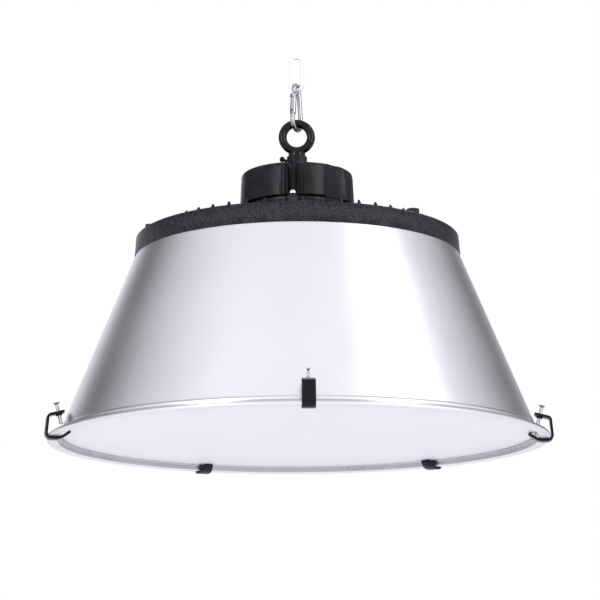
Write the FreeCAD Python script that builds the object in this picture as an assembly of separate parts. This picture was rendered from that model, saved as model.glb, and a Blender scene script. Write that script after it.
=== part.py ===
import FreeCAD, Part
import math
import os

# A high bay light that hangs from a chain link by a snap hook and an eyebolt.
# Millimetres, +Z up. The origin is the inner top of the chain link, where the
# ceiling chain carries it, and everything else hangs below. The front is -Y.
# An azimuth is measured from the front, towards +X.

os.makedirs("parts", exist_ok=True)

Vector = FreeCAD.Vector
ORIGIN = Vector(0, 0, 0)
X_AXIS = Vector(1, 0, 0)
Y_AXIS = Vector(0, 1, 0)
Z_AXIS = Vector(0, 0, 1)
FULL_TURN = 360.0

# ---- clearances ----
running_gap = 0.3
hook_hang_gap = 0.65
eye_hang_gap = 0.33
seat_gap = 0.05
slot_gap = 0.2

# ---- chain link ----
link_wire = 4.0
link_inner_length = 33.0
link_inner_width = 8.2

# ---- snap hook ----
hook_wire = 5.0
hook_height = 55.6
hook_narrow_radius = 6.1
hook_wide_radius = 10.5
hook_azimuth = -25.0
hook_tongue_thickness = 2.0
hook_stub_length = 7.6
hook_nose_length = 4.2
gate_diameter = 6.6
gate_bore = 3.4
gate_rivet_diameter = 2.4
gate_pin_diameter = 1.8
gate_spring_thickness = 0.4
gate_spring_width = 1.6
gate_spring_length = 17.0
gate_spring_foot = 5.0

# ---- eyebolt ----
eye_bar = 9.0
eye_radius = 15.4
eye_shoulder_diameter = 18.4
eye_shoulder_height = 4.6
eye_neck_diameter = 12.6
eye_thread = 12.0
eye_thread_length = 35.6
eye_nut_across_flats = 18.0
eye_nut_height = 8.0
eye_washer_diameter = 24.0
eye_washer_thickness = 2.0

# ---- locking screw ----
locking_screw_diameter = 3.2
locking_screw_head = 6.0
locking_screw_head_height = 2.4
locking_screw_reach = 30.0
locking_screw_drop = 8.5
locking_screw_azimuth = -34.0

# ---- driver case ----
case_height = 36.0
case_top_radius = 60.3
case_draft = 1.5
case_foot_radius = case_top_radius + case_draft
case_wall = 2.6
case_roof = 3.0
case_shoulder = 4.0
case_flange_width = 15.0
case_flange_thickness = 3.0
boss_diameter = 22.0
boss_height = 20.3
boss_root = 3.0
column_count = 4
column_azimuth = -4.4
column_setback = 1.9
column_distance = case_top_radius - column_setback
column_radius = 5.6
column_wall = 2.6
column_groove_width = 3.0
column_groove_depth = 1.2
column_groove_offset = 7.1
column_line_width = 0.9
column_line_depth = 0.6
column_line_offset = 11.0
lug_thickness = 3.0
lug_rise = 0.4
scoop_azimuth = 43.2
scoop_radius = 35.6
scoop_depth = 3.0
scoop_half_angle = 13.8

# ---- driver case screws and base ----
case_screw_diameter = 5.0
case_screw_head = 8.5
case_screw_head_height = 5.4
case_screw_head_edge = 1.2
case_screw_length = 16.0
case_screw_socket = 4.0
gasket_thickness = 1.0
gasket_width = 5.0
base_setback = 3.3
base_radius = case_top_radius - base_setback
base_thickness = 3.2
base_lead_hole = 14.0

# ---- driver inside the case ----
board_setback = 16.3
board_radius = case_top_radius - board_setback
board_thickness = 1.6
spacer_count = 3
spacer_setback = 7.0
spacer_distance = board_radius - spacer_setback
spacer_azimuth = 60.0
spacer_diameter = 6.0
spacer_height = 6.0
transformer_size = (26.0, 22.0, 13.0)
transformer_place = (-22.0, 12.0)
transformer_bobbin = 3.0
capacitor_diameter = 10.0
capacitor_length = 14.0
capacitor_places = ((12.0, 20.0), (24.0, 12.0), (10.0, -22.0), (-14.0, -20.0))

# ---- cable gland ----
gland_azimuth = scoop_azimuth + 180.0
gland_pad_radius = 12.5
gland_pad_rise = 2.4
gland_thread = 16.0
gland_thread_length = 8.0
gland_flats = 20.0
gland_body_length = 6.0
gland_nut_flats = 19.0
gland_nut_length = 15.0
gland_nut_mouth = 11.0
gland_seal_bore = 8.0
gland_seal_diameter = 12.6
gland_seal_length = 11.0
gland_locknut_flats = 21.0
gland_locknut_thickness = 4.0

# ---- heat sink ----
rim_top_radius = 173.4
rim_draft = 1.4
rim_foot_radius = rim_top_radius + rim_draft
rim_height = 21.5
rim_wall = 4.0
rim_land_width = 14.0
rim_edge = 1.2
plate_thickness = 6.0
plate_lift = 6.4
hub_setback = 2.4
hub_radius = column_distance - hub_setback
hub_wall = 7.0
hub_height = 41.3
pillar_radius = 6.4
fin_count = 48
fin_azimuth = 2.4
fin_thickness = 2.0
fin_setback = 21.4
fin_tip_radius = rim_top_radius - fin_setback
fin_tip_height = 19.4
fin_hub_drop = 5.0
fin_curve_radius = 92.0
fin_skirt_height = 6.0
rim_boss_count = 3
rim_boss_azimuth = 47.5
rim_boss_setback = 11.9
rim_boss_distance = rim_top_radius - rim_boss_setback
rim_boss_radius = 6.5
rim_boss_rise = 6.4
rim_boss_hole = 4.2

# ---- light engine ----
lens_radius = 130.0
led_board_margin = 12.0
led_board_radius = lens_radius - led_board_margin
led_board_thickness = 1.6
led_size = 5.0
led_height = 0.8
led_ring_radii = (34.0, 68.0, 102.0)
led_ring_counts = (8, 16, 24)
lens_thickness = 2.0
lens_lip_width = 10.0
lens_gasket_thickness = 1.4
lens_gasket_width = 6.0
lens_ring_width = 16.0
lens_ring_thickness = 2.0
lens_screw_count = 8
lens_screw_azimuth = 22.5
lens_screw_diameter = 4.0
lens_screw_head = 7.0
lens_screw_head_height = 2.4
lens_screw_depth = 5.0

# ---- reflector shade ----
shade_height = 198.6
shade_sheet = 1.2
shade_top_setback = 0.9
shade_top_radius = rim_foot_radius - shade_top_setback
shade_flange_width = 13.0
flare_radius = 265.0
shade_waist_height = 11.0
shade_waist_setback = 14.8
shade_waist_radius = flare_radius - shade_waist_setback
bead_height = 4.8
bead_swell = 1.6
lip_height = 3.4
lip_width = 12.0
lip_bend = 1.7
shade_screw_count = 6
shade_screw_azimuth = 15.0
shade_screw_diameter = 4.0
shade_screw_head = 7.0
shade_screw_head_height = 2.4
shade_screw_depth = 8.0

# ---- diffuser ----
diffuser_thickness = 2.0
diffuser_gap = 0.6
diffuser_edge = 0.6
diffuser_lift = 7.4
diffuser_gasket_inset = 2.2
diffuser_gasket_width = 5.0
diffuser_gasket_thickness = 1.4

# ---- rim clips ----
clip_azimuths = {
    "front": 2.2,
    "right": 86.0,
    "rear_right": 143.4,
    "rear_left": 205.5,
    "left": 283.0,
}
clip_strip = 2.4
clip_width = 13.4
clip_lip_gap = 0.4
clip_heel_reach = 1.2
clip_leg_lean = 1.5
clip_top_height = 21.4
clip_arm_reach = 17.3
clip_arm_slope = 14.5
clip_bend = 3.0
clip_heel_bend = 5.0
clip_tongue_root = 1.5
clip_tongue_reach = 9.5
clip_tongue_bend = 9.0
clip_tongue_tip = 7.0
clip_tongue_taper = 9.0
clip_hole_setback = 5.8
clip_collar_diameter = 7.0
clip_collar_height = 2.0
clip_screw_diameter = 4.0
clip_screw_length = 23.0
clip_screw_rise = 12.0
clip_screw_head = 7.6
clip_screw_head_height = 2.3
clip_screw_cross = 4.4
clip_screw_cross_width = 0.9
clip_screw_cross_depth = 1.3

# ---- levels, worked out from the top down ----
link_foot = -(link_inner_length + link_wire / 2)
hook_head = link_foot + link_wire / 2 + hook_hang_gap + hook_wire / 2
hook_foot = hook_head - (hook_height - hook_wire)
eye_crown = hook_foot + hook_wire / 2 + eye_hang_gap + eye_bar / 2
eye_centre = eye_crown - eye_radius
shoulder_foot = eye_centre - eye_radius - eye_bar / 2 - 2.8
case_top = shoulder_foot - boss_height
case_foot = case_top - case_height
base_top = case_foot - gasket_thickness
hub_top = base_top - base_thickness
plate_top = hub_top - hub_height
plate_foot = plate_top - plate_thickness
rim_foot = plate_foot - plate_lift
rim_top = rim_foot + rim_height
shade_foot = rim_foot - shade_height


# ---- helpers ----
def save(name, shape):
    """Writes one sub-part to its own STEP file."""
    shape.exportStep("parts/" + name + ".step")


def rod(diameter, low, high, x=0.0, y=0.0):
    """An upright round bar between two levels."""
    return Part.makeCylinder(diameter / 2, high - low, Vector(x, y, low))


def hexagon(across_flats, low, high):
    """An upright hexagonal bar between two levels."""
    corner = across_flats / math.sqrt(3)
    points = []
    for index in range(7):
        angle = math.radians(60 * index)
        points.append(Vector(corner * math.cos(angle), corner * math.sin(angle), low))
    return Part.Face(Part.makePolygon(points)).extrude(Vector(0, 0, high - low))


def at_azimuth(shape, azimuth):
    """Turns a shape built along +X to its azimuth from the front."""
    turned = shape.copy()
    turned.rotate(ORIGIN, Z_AXIS, azimuth - 90.0)
    return turned


def around(shape, count, azimuth):
    """Copies a shape built along +X evenly round the axis."""
    return [at_azimuth(shape, azimuth + FULL_TURN * index / count) for index in range(count)]


def section(pairs):
    """Corner points of a section in the XZ plane, from radius and height pairs."""
    return [Vector(x, 0, z) for x, z in pairs]


def turned(pairs):
    """A solid of revolution about the Z axis from its half section."""
    points = section(pairs)
    face = Part.Face(Part.makePolygon(points + [points[0]]))
    return face.revolve(ORIGIN, Z_AXIS, FULL_TURN)


def rounded_run(points, radii):
    """Straight stretches between the points, joined by tangent arcs at the inner ones."""
    edges = []
    reached = points[0]
    for before, corner, after, radius in zip(points, points[1:], points[2:], radii):
        back = (before - corner).normalize()
        onward = (after - corner).normalize()
        half = back.getAngle(onward) / 2
        if radius > 0:
            cut = radius / math.tan(half)
            first = corner + back * cut
            last = corner + onward * cut
            inward = (back + onward).normalize()
            middle = corner + inward * (radius / math.sin(half) - radius)
            edges.append(Part.makeLine(reached, first))
            edges.append(Part.Arc(first, middle, last).toShape())
            reached = last
        else:
            edges.append(Part.makeLine(reached, corner))
            reached = corner
    edges.append(Part.makeLine(reached, points[-1]))
    return edges


def offset_run(points, distance):
    """The same run of points moved sideways to its left, with mitred corners."""
    normals = []
    for start, end in zip(points, points[1:]):
        along = (end - start).normalize()
        normals.append(Vector(-along.z, 0, along.x))
    moved = [points[0] + normals[0] * distance]
    for corner, before, after in zip(points[1:], normals, normals[1:]):
        moved.append(corner + (before + after) * (distance / (1 + before.dot(after))))
    moved.append(points[-1] + normals[-1] * distance)
    return moved


def bent_sheet(points, radii, thickness):
    """The section of a bent sheet that keeps one thickness round its bends."""
    near = rounded_run(points, radii)
    far_radii = []
    for before, corner, after, radius in zip(points, points[1:], points[2:], radii):
        turns_left = (corner - before).cross(after - corner).y < 0
        change = -thickness if turns_left else thickness
        far_radii.append(max(radius + change, 0.0) if radius > 0 else 0.0)
    far_points = offset_run(points, thickness)
    far = rounded_run(far_points, far_radii)
    ends = [
        Part.makeLine(points[-1], far_points[-1]),
        Part.makeLine(far_points[0], points[0]),
    ]
    return Part.Face(Part.Wire(Part.__sortEdges__(near + far + ends)))


def swept_rod(edges, diameter):
    """A round bar along a smooth run of lines and arcs."""
    path = Part.Wire(edges)
    first = edges[0]
    start = first.valueAt(first.FirstParameter)
    along = first.tangentAt(first.FirstParameter)
    profile = Part.Wire(Part.makeCircle(diameter / 2, start, along))
    return path.makePipeShell([profile], True, False)


def joined(shapes):
    """One solid from shapes that meet or overlap."""
    first, *others = shapes
    return first.fuse(others).removeSplitter()


# ---- suspension ----
def chain_link():
    """A short-link chain link: round bar bent to an oval and welded."""
    bend = (link_inner_width + link_wire) / 2
    upper = link_wire / 2 - bend
    lower = link_foot + bend
    bows = []
    for level, turn in ((upper, -180.0), (lower, 180.0)):
        bar = Part.Face(Part.Wire(Part.makeCircle(link_wire / 2, Vector(bend, 0, level))))
        bows.append(bar.revolve(Vector(0, 0, level), Y_AXIS, turn))
    sides = [rod(link_wire, lower, upper, x) for x in (-bend, bend)]
    return joined(bows + sides)


hook_lean = math.asin((hook_wide_radius - hook_narrow_radius)
                      / (hook_head - hook_foot - hook_wide_radius - hook_narrow_radius))
hook_narrow_level = hook_head - hook_narrow_radius
hook_wide_level = hook_foot + hook_wide_radius


def hook_side_point(radius, level, side):
    """Where a bend of the hook runs into its straight side."""
    return Vector(side * radius * math.cos(hook_lean), 0, level + radius * math.sin(hook_lean))


gate_top = hook_side_point(hook_narrow_radius, hook_narrow_level, 1)
gate_foot = hook_side_point(hook_wide_radius, hook_wide_level, 1)
gate_down = (gate_foot - gate_top).normalize()
gate_pivot = gate_top + gate_down * hook_stub_length
nose_end = gate_foot - gate_down * hook_nose_length
pin_place = nose_end - gate_down * (gate_pin_diameter + running_gap)


def along_gate(shape, place):
    """Sets a shape built downwards from the origin on the leaning gate line."""
    placed = shape.copy()
    placed.rotate(ORIGIN, Y_AXIS, -math.degrees(hook_lean))
    placed.translate(place)
    return placed


def cross_pin(diameter, length, place):
    """A round pin square to the hook's plane."""
    return Part.makeCylinder(diameter / 2, length, place - Y_AXIS * (length / 2), Y_AXIS)


def flat_tongue(length, width):
    """A flat tongue that runs down from the origin, in the hook's plane."""
    return Part.makeBox(width, hook_tongue_thickness, length,
                        Vector(-width / 2, -hook_tongue_thickness / 2, -length))


def snap_hook():
    """The hook's bent bar, with a flat hinge stub and a notched nose."""
    half = hook_wire / 2
    stub_clear = gate_diameter / 2 + running_gap
    stub_end = gate_pivot - gate_down * stub_clear
    spine_top = hook_side_point(hook_narrow_radius, hook_narrow_level, -1)
    spine_foot = hook_side_point(hook_wide_radius, hook_wide_level, -1)
    edges = [
        Part.makeLine(stub_end, gate_top),
        Part.Arc(gate_top, Vector(0, 0, hook_head), spine_top).toShape(),
        Part.makeLine(spine_top, spine_foot),
        Part.Arc(spine_foot, Vector(0, 0, hook_foot), gate_foot).toShape(),
        Part.makeLine(gate_foot, nose_end),
    ]
    bar = swept_rod(edges, hook_wire)
    stub = along_gate(flat_tongue(stub_clear + half, hook_wire), stub_end - gate_down * half)
    stub_round = cross_pin(hook_wire, hook_tongue_thickness, gate_pivot)
    rivet_hole = cross_pin(gate_rivet_diameter + 2 * seat_gap, hook_wire, gate_pivot)
    nose_length = 2 * gate_pin_diameter + running_gap + half
    nose_top = nose_end - gate_down * (nose_length - half)
    nose = along_gate(flat_tongue(nose_length, hook_wire * 0.7), nose_top)
    notch = cross_pin(gate_pin_diameter + 2 * running_gap, hook_wire, pin_place)
    notch_mouth = along_gate(
        Part.makeBox(hook_wire, hook_wire, gate_pin_diameter + 2 * running_gap,
                     Vector(-hook_wire, -half, -gate_pin_diameter / 2 - running_gap)),
        pin_place)
    return joined([bar, stub, stub_round, nose]).cut([rivet_hole, notch, notch_mouth])


def hook_gate():
    """The sprung gate: a tube forked at the hinge and at the nose."""
    length = (nose_end - gate_pivot).Length - running_gap
    reach = gate_diameter / 2
    tube = rod(gate_diameter, -length, 0)
    crown = Part.makeSphere(reach)
    slot = hook_tongue_thickness + 2 * slot_gap
    hinge_slot_depth = hook_wire / 2 + running_gap
    nose_slot_depth = 2 * gate_pin_diameter + 2 * running_gap + slot_gap
    upper_slot = Part.makeBox(2 * reach, slot, reach + hinge_slot_depth,
                              Vector(-reach, -slot / 2, -hinge_slot_depth))
    lower_slot = Part.makeBox(2 * reach, slot, nose_slot_depth,
                              Vector(-reach, -slot / 2, -length))
    bore = rod(gate_bore, nose_slot_depth - length, -hinge_slot_depth)
    gate = along_gate(joined([tube, crown]).cut([upper_slot, lower_slot, bore]), gate_pivot)
    holes = [
        cross_pin(gate_rivet_diameter + 2 * seat_gap, gate_diameter, gate_pivot),
        cross_pin(gate_pin_diameter + 2 * seat_gap, gate_diameter, pin_place),
    ]
    return gate.cut(holes)


def gate_rivet():
    """The hinge rivet, with a low head on each side of the gate."""
    head_height = 0.7
    flats = gate_diameter + 2 * seat_gap
    head = gate_rivet_diameter + 1.4
    shank = cross_pin(gate_rivet_diameter, flats, gate_pivot)
    heads = cross_pin(head, flats + 2 * head_height, gate_pivot)
    return joined([shank, heads.cut(cross_pin(2 * head, flats, gate_pivot))])


def gate_pin():
    """The catch pin that locks behind the nose."""
    return cross_pin(gate_pin_diameter, gate_diameter - 2 * seat_gap, pin_place)


def gate_spring():
    """The leaf that pushes the gate shut, bent over inside its bore."""
    side = gate_bore / 2 - slot_gap - gate_spring_thickness
    top = -(hook_wire / 2 + 2 * running_gap)
    points = section([(side, -gate_spring_length), (side, top - gate_spring_foot),
                      (-side, top - 1.0)])
    leaf = bent_sheet(points, [2.0], gate_spring_thickness)
    strip = leaf.extrude(Y_AXIS * gate_spring_width)
    strip.translate(-Y_AXIS * (gate_spring_width / 2))
    return along_gate(strip, gate_pivot)


def on_hook(shape):
    """Turns a piece built in the XZ plane into the hook's own plane."""
    return at_azimuth(shape, hook_azimuth)


# ---- eyebolt ----
def eyebolt():
    """A forged lifting eye on a round shoulder and a threaded shank."""
    ring = Part.makeTorus(eye_radius, eye_bar / 2, Vector(0, 0, eye_centre), Y_AXIS)
    bar_level = eye_centre - eye_radius
    shoulder = eye_shoulder_diameter / 2
    neck = eye_neck_diameter / 2
    thread = eye_thread / 2
    shank_foot = shoulder_foot - eye_thread_length
    stem = turned([
        (0, bar_level), (neck * 0.7, bar_level),
        (neck, bar_level - eye_bar / 2), (shoulder, shoulder_foot + eye_shoulder_height),
        (shoulder, shoulder_foot), (thread, shoulder_foot),
        (thread, shank_foot + 1), (thread - 1, shank_foot), (0, shank_foot),
    ])
    return joined([ring, stem])


def eyebolt_washer():
    """The flat washer under the case roof."""
    top = case_top - case_roof
    low = top - eye_washer_thickness
    return rod(eye_washer_diameter, low, top).cut(rod(eye_thread + 2 * running_gap, low, top))


def eyebolt_nut():
    """The nut that holds the eyebolt from inside the case."""
    top = case_top - case_roof - eye_washer_thickness
    low = top - eye_nut_height
    return hexagon(eye_nut_across_flats, low, top).cut(rod(eye_thread + 2 * seat_gap, low, top))


locking_screw_level = shoulder_foot - locking_screw_drop


def crossed_head(diameter, height, width):
    """A low round screw head with a cross recess, its seat at the origin, up +Z."""
    edge = height * 0.45
    head = turned([(0, 0), (diameter / 2, 0), (diameter / 2, height - edge),
                   (diameter / 2 - edge, height), (0, height)])
    span = diameter * 0.55
    slots = []
    for length, depth in ((span, width), (width, span)):
        slots.append(Part.makeBox(length, depth, height,
                                  Vector(-length / 2, -depth / 2, height / 2)))
    return head.cut(slots)


def locking_screw():
    """The long pan-head screw that stops the eyebolt from turning."""
    tip = eye_thread / 2 + seat_gap
    head_seat = locking_screw_reach - locking_screw_head_height
    head = crossed_head(locking_screw_head, locking_screw_head_height, 0.9)
    shank = rod(locking_screw_diameter, tip - head_seat, 0)
    screw = joined([head, shank])
    screw.rotate(ORIGIN, Y_AXIS, 90)
    screw.translate(Vector(head_seat, 0, locking_screw_level))
    return at_azimuth(screw, locking_screw_azimuth)


# ---- driver case ----
lug_top = case_foot + lug_rise
lug_foot = lug_top - lug_thickness
scoop_face = case_top_radius * math.cos(math.radians(scoop_half_angle)) - scoop_depth
scoop_distance = scoop_face + scoop_radius
gland_pad_distance = scoop_face + gland_pad_rise


def upright_post(radius, distance, low, high):
    """A round post at a distance from the axis, along +X."""
    return rod(2 * radius, low, high, distance)


def case_body():
    """The outside of the case, with its rounded upper edge and boss."""
    shoulder = Part.Arc(
        Vector(case_top_radius, 0, case_top - case_shoulder),
        Vector(case_top_radius - case_shoulder * (1 - math.sqrt(0.5)), 0,
               case_top - case_shoulder * (1 - math.sqrt(0.5))),
        Vector(case_top_radius - case_shoulder, 0, case_top)).toShape()
    boss = boss_diameter / 2
    upper = rounded_run(section([
        (case_top_radius - case_shoulder, case_top), (boss + boss_root, case_top),
        (boss, case_top + boss_root), (boss, shoulder_foot), (0, shoulder_foot),
    ]), [0, 0, 0])
    lower = rounded_run(section([
        (0, shoulder_foot), (0, case_foot), (case_foot_radius, case_foot),
        (case_top_radius, case_top - case_shoulder),
    ]), [0, 0])
    wire = Part.Wire(Part.__sortEdges__([shoulder] + upper + lower))
    return Part.Face(wire).revolve(ORIGIN, Z_AXIS, FULL_TURN)


def case_cavity():
    """The room inside the case, above its inward foot flange."""
    roof = case_top - case_roof
    floor = case_foot + case_flange_thickness
    mouth = case_foot_radius - case_flange_width
    return turned([
        (0, case_foot - 1), (mouth, case_foot - 1), (mouth, floor),
        (case_foot_radius - case_wall, floor), (case_top_radius - case_wall, roof), (0, roof),
    ])


def column_grooves():
    """The two grooves and two fine lines beside each screw column."""
    cuts = []
    for side in (-1, 1):
        for width, depth, offset in (
                (column_groove_width, column_groove_depth, column_groove_offset),
                (column_line_width, column_line_depth, column_line_offset)):
            reach = math.sqrt(case_top_radius ** 2 - offset ** 2)
            cuts.append(Part.makeBox(
                2 * depth + 4, width, case_height - case_shoulder,
                Vector(reach - depth, side * offset - width / 2, case_foot)))
    return cuts


def gland_hole():
    """The threaded hole for the cable gland."""
    hole = Part.makeCylinder(gland_thread / 2 + seat_gap, gland_pad_distance,
                             Vector(case_top_radius / 2, 0, gland_level), X_AXIS)
    return at_azimuth(hole, gland_azimuth)


gland_level = case_foot + case_height * 0.47


def driver_case():
    """The cast cover of the driver, with screw columns, scoops and gland pad."""
    above = case_top + 1
    body = case_body()
    cavity = case_cavity()
    scoops = []
    for azimuth in (scoop_azimuth, gland_azimuth):
        scoops.append(at_azimuth(
            upright_post(scoop_radius, scoop_distance, case_foot - 1, above), azimuth))
        backing = upright_post(scoop_radius + case_wall, scoop_distance, case_foot - 1, above)
        cavity = cavity.cut(at_azimuth(backing, azimuth))
    columns = around(upright_post(column_radius + column_wall, column_distance,
                                  case_foot, above), column_count, column_azimuth)
    cavity = cavity.cut(columns)
    grooves = []
    for cut in column_grooves():
        grooves += around(cut, column_count, column_azimuth)
    channels = around(upright_post(column_radius, column_distance, lug_top, above),
                      column_count, column_azimuth)
    lugs = around(upright_post(column_radius, column_distance, lug_foot, lug_top),
                  column_count, column_azimuth)
    screw_holes = around(upright_post(case_screw_diameter / 2 + seat_gap, column_distance,
                                      lug_foot, lug_top), column_count, column_azimuth)
    pad = at_azimuth(Part.makeCylinder(
        gland_pad_radius, gland_pad_rise + case_wall,
        Vector(scoop_face - case_wall, 0, gland_level), X_AXIS), gland_azimuth)
    boss_hole = rod(eye_thread + 2 * seat_gap, case_top - case_roof, shoulder_foot)
    lock_hole = at_azimuth(Part.makeCylinder(
        locking_screw_diameter / 2 + seat_gap, boss_diameter / 2,
        Vector(eye_thread / 2, 0, locking_screw_level), X_AXIS), locking_screw_azimuth)
    shell = body.cut(scoops + grooves).cut([cavity]).cut(channels)
    shell = joined([shell, pad] + lugs)
    return shell.cut(screw_holes + [boss_hole, lock_hole, gland_hole()])


def case_gasket():
    """The flat sealing ring between the case and its base."""
    outer = column_distance - column_radius - 2 * running_gap
    return rod(2 * outer, base_top, case_foot).cut(
        rod(2 * (outer - gasket_width), base_top, case_foot))


def driver_base():
    """The plate that closes the case, notched round the screw lugs."""
    plate = rod(2 * base_radius, hub_top, base_top)
    notches = around(upright_post(column_radius + running_gap, column_distance,
                                  hub_top, base_top), column_count, column_azimuth)
    return plate.cut(notches + [rod(base_lead_hole, hub_top, base_top)])


def case_screws():
    """Four domed socket-head screws that hold the case to the heat sink."""
    shank = upright_post(case_screw_diameter / 2, column_distance,
                         lug_top - case_screw_length, lug_top)
    half = case_screw_head / 2
    dome = case_screw_head_height - case_screw_head_edge
    dome_radius = (half ** 2 + dome ** 2) / (2 * dome)
    crown = lug_top + case_screw_head_height
    ball = Part.makeSphere(dome_radius, Vector(column_distance, 0, crown - dome_radius))
    head = upright_post(half, column_distance, lug_top, crown).common(ball)
    edge = upright_post(half, column_distance, lug_top, lug_top + case_screw_head_edge)
    socket = hexagon(case_screw_socket, crown - case_screw_head_height / 2, crown)
    socket.translate(X_AXIS * column_distance)
    screw = joined([shank, edge, head]).cut(socket)
    return Part.makeCompound(around(screw, column_count, column_azimuth))


# ---- driver inside the case ----
board_foot = base_top + spacer_height
board_top = board_foot + board_thickness


def driver_board():
    """The driver's round circuit board, clear of the gland's locknut."""
    board = rod(2 * board_radius, board_foot, board_top)
    holes = around(upright_post(1.6, spacer_distance, board_foot, board_top), spacer_count,
                   spacer_azimuth)
    return board.cut(holes)


def board_spacers():
    """Round spacers with a stud that carry the board off the base."""
    spacer = joined([
        upright_post(spacer_diameter / 2, spacer_distance, base_top, board_foot),
        upright_post(1.5, spacer_distance, board_foot, board_top + 1.5),
    ])
    return Part.makeCompound(around(spacer, spacer_count, spacer_azimuth))


def transformer():
    """The transformer: a ferrite block with its wound bobbin."""
    length, width, height = transformer_size
    x, y = transformer_place
    core = Part.makeBox(length, width, height, Vector(x - length / 2, y - width / 2, board_top))
    bobbin = Part.makeBox(length - 2 * transformer_bobbin, width + 2 * transformer_bobbin,
                          height - 2 * transformer_bobbin,
                          Vector(x - length / 2 + transformer_bobbin,
                                 y - width / 2 - transformer_bobbin,
                                 board_top + transformer_bobbin))
    return joined([core, bobbin])


def capacitors():
    """The round smoothing capacitors on the board."""
    cans = []
    for x, y in capacitor_places:
        can = rod(capacitor_diameter, board_top, board_top + capacitor_length, x, y)
        top_edges = [edge for edge in can.Edges if edge.BoundBox.ZMin > board_top + 1]
        cans.append(can.makeFillet(1.0, top_edges))
    return Part.makeCompound(cans)


# ---- cable gland, built along +Z from the pad's face ----
def on_gland(shape):
    """Sets a piece built outwards along +Z on the gland pad."""
    placed = shape.copy()
    placed.rotate(ORIGIN, Y_AXIS, 90)
    placed.translate(Vector(gland_pad_distance, 0, gland_level))
    return at_azimuth(placed, gland_azimuth)


gland_neck = gland_seal_diameter / 2 + 1.2


def gland_body():
    """The gland's threaded body, with its hexagon and hollow neck."""
    flats = hexagon(gland_flats, 0, gland_body_length)
    thread = rod(gland_thread, -gland_thread_length, 0)
    neck = rod(2 * gland_neck, gland_body_length, gland_body_length + gland_seal_length)
    bore = rod(gland_seal_diameter + 2 * seat_gap, gland_body_length - 2, gland_body_length
               + gland_seal_length)
    lead = rod(gland_nut_mouth, -gland_thread_length, gland_body_length)
    return joined([flats, thread, neck]).cut([bore, lead])


def gland_seal():
    """The rubber bush that grips a cable."""
    low = gland_body_length - 2
    high = low + gland_seal_length
    return rod(gland_seal_diameter, low, high).cut(rod(gland_seal_bore, low, high))


def gland_nut():
    """The domed cap nut that squeezes the bush."""
    low = gland_body_length + running_gap
    high = low + gland_nut_length
    flats = hexagon(gland_nut_flats, low, high)
    dome = turned([
        (0, low), (gland_nut_flats, low), (gland_nut_flats, low + gland_nut_length * 0.35),
        (gland_nut_mouth / 2 + 1.2, high), (0, high),
    ])
    cup = rod(2 * (gland_neck + seat_gap), low, low + gland_seal_length)
    mouth = rod(gland_nut_mouth, low, high)
    return flats.common(dome).cut([cup, mouth])


def gland_locknut():
    """The locknut inside the case wall."""
    wall = gland_pad_rise + case_wall
    high = -wall - seat_gap
    low = high - gland_locknut_thickness
    return hexagon(gland_locknut_flats, low, high).cut(
        rod(gland_thread + 2 * seat_gap, low, high))


# ---- heat sink ----
def heat_sink_rings():
    """The plate, outer rim, land and hub of the cast heat sink."""
    land_inner = rim_foot_radius - rim_land_width
    inner_wall = rim_top_radius - rim_wall
    hub_inner = hub_radius - hub_wall
    return turned([
        (0, plate_foot), (land_inner, plate_foot), (land_inner, rim_foot),
        (rim_foot_radius - rim_edge, rim_foot), (rim_foot_radius, rim_foot + rim_edge),
        (rim_top_radius, rim_top - rim_edge), (rim_top_radius - rim_edge, rim_top),
        (inner_wall, rim_top), (inner_wall, plate_top), (hub_radius, plate_top),
        (hub_radius, hub_top), (hub_inner, hub_top), (hub_inner, plate_top), (0, plate_top),
    ])


def cooling_fin():
    """One upright fin, high at the hub, curving down to a level tip and a low skirt."""
    root = plate_top - 1
    hub_edge = Vector(hub_radius - 1, 0, hub_top - fin_hub_drop)
    curve_end = Vector(fin_curve_radius, 0, plate_top + fin_tip_height)
    span = curve_end - hub_edge
    sag = Vector(hub_edge.x + span.x * 0.38, 0, hub_edge.z + span.z * 0.74)
    tip = plate_top + fin_tip_height
    skirt = plate_top + fin_skirt_height
    wall = rim_top_radius - rim_wall + 1
    outline = [Part.Arc(hub_edge, sag, curve_end).toShape()] + rounded_run(section([
        (fin_curve_radius, tip), (fin_tip_radius, tip), (fin_tip_radius, skirt),
        (wall, skirt), (wall, root), (hub_edge.x, root), (hub_edge.x, hub_edge.z),
    ]), [0, 0, 0, 0, 0])
    face = Part.Face(Part.Wire(Part.__sortEdges__(outline)))
    fin = face.extrude(Y_AXIS * fin_thickness)
    fin.translate(-Y_AXIS * (fin_thickness / 2))
    return fin


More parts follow.
